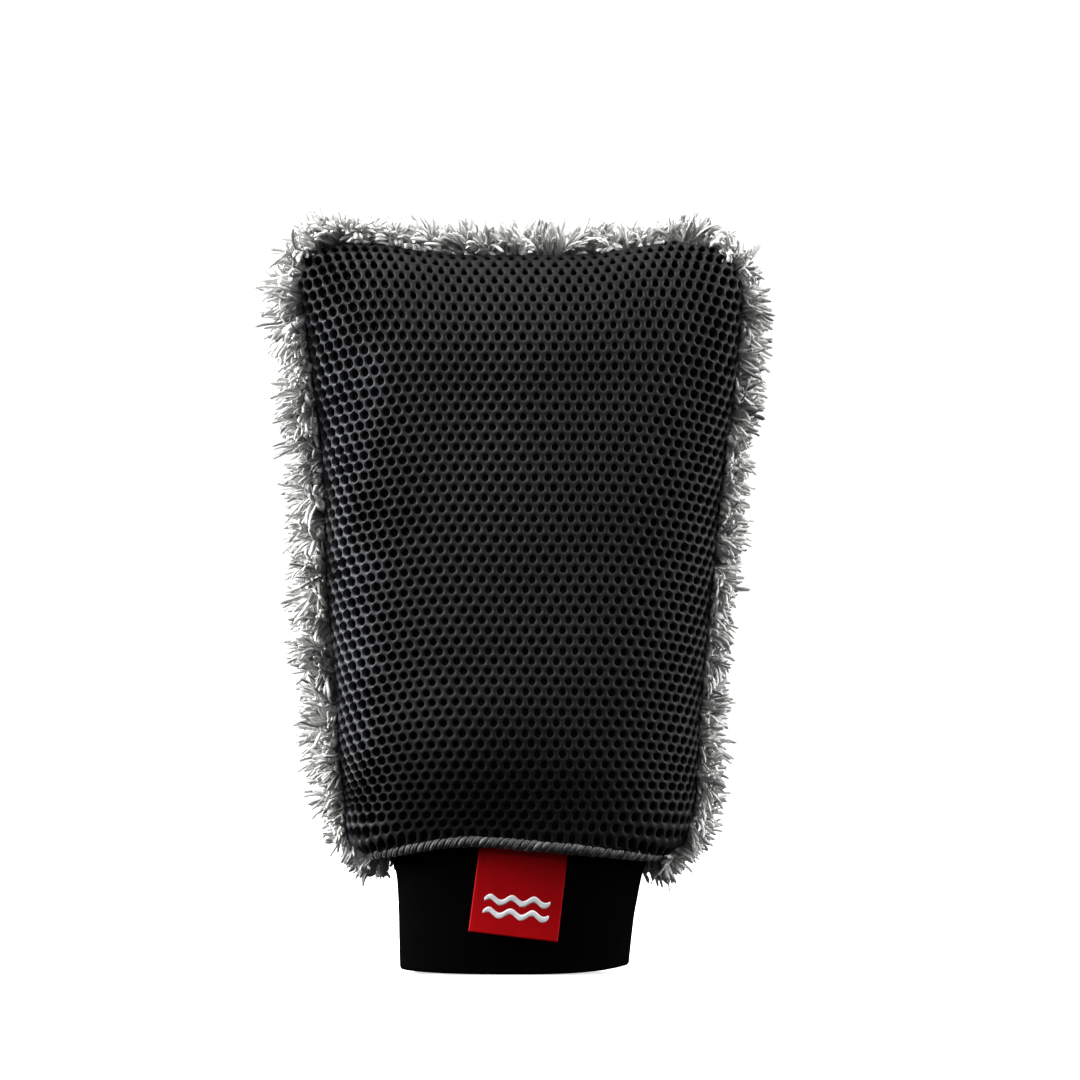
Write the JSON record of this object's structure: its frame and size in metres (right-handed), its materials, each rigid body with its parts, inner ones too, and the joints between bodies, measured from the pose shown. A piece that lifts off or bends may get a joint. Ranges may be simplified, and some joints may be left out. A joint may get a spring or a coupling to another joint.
{
  "type": "wash mitt",
  "caption": "Wash mitt with a perforated scrubbing back, a deep microfibre pile palm, a knit wrist sleeve and a woven tab in the seam.",
  "frame": {"origin": "centre of the wrist sleeve's mouth, in the plane of its lowest hem", "axes": "+Z points from the wrist to the fingertips, -Y towards the perforated back, +Y towards the pile palm, +X to the right when the perforated back is looked at"},
  "size_m": [0.1882, 0.0725, 0.283],
  "materials": {
    "face_sheet": "matt black foam-backed sheet with close round perforations",
    "underlay_knit": "dark knit with a slight sheen",
    "backing_cloth": "grey knit ground cloth",
    "pile": "deep grey microfibre pile, curled and clumped",
    "seam_thread": "dark grey closing seam",
    "overlock_thread": "light grey overlock thread",
    "cuff_knit": "smooth black stretch knit, doubled and folded at the hem",
    "label_weave": null
  },
  "bodies": {
    "pocket": {"back_mesh": "face_sheet", "back_underlay": "underlay_knit", "palm_backing": "backing_cloth", "palm_pile": "pile", "perimeter_seam": "seam_thread", "mouth_overlock": "overlock_thread"},
    "sleeve": {"cuff": "cuff_knit"},
    "tab": {"label": "label_weave"}
  },
  "joints": [
    {"name": "cuff_flex", "type": "hinge", "parent": "pocket", "child": "sleeve", "pos_m": [0, -0.022, 0.046], "axis": [1, 0, 0], "range_deg": [-5, 15]},
    {"name": "label_flap", "type": "hinge", "parent": "sleeve", "child": "tab", "pos_m": [0.003, -0.0245, 0.044], "axis": [-1, 0, 0], "range_deg": [0, 90]}
  ]
}
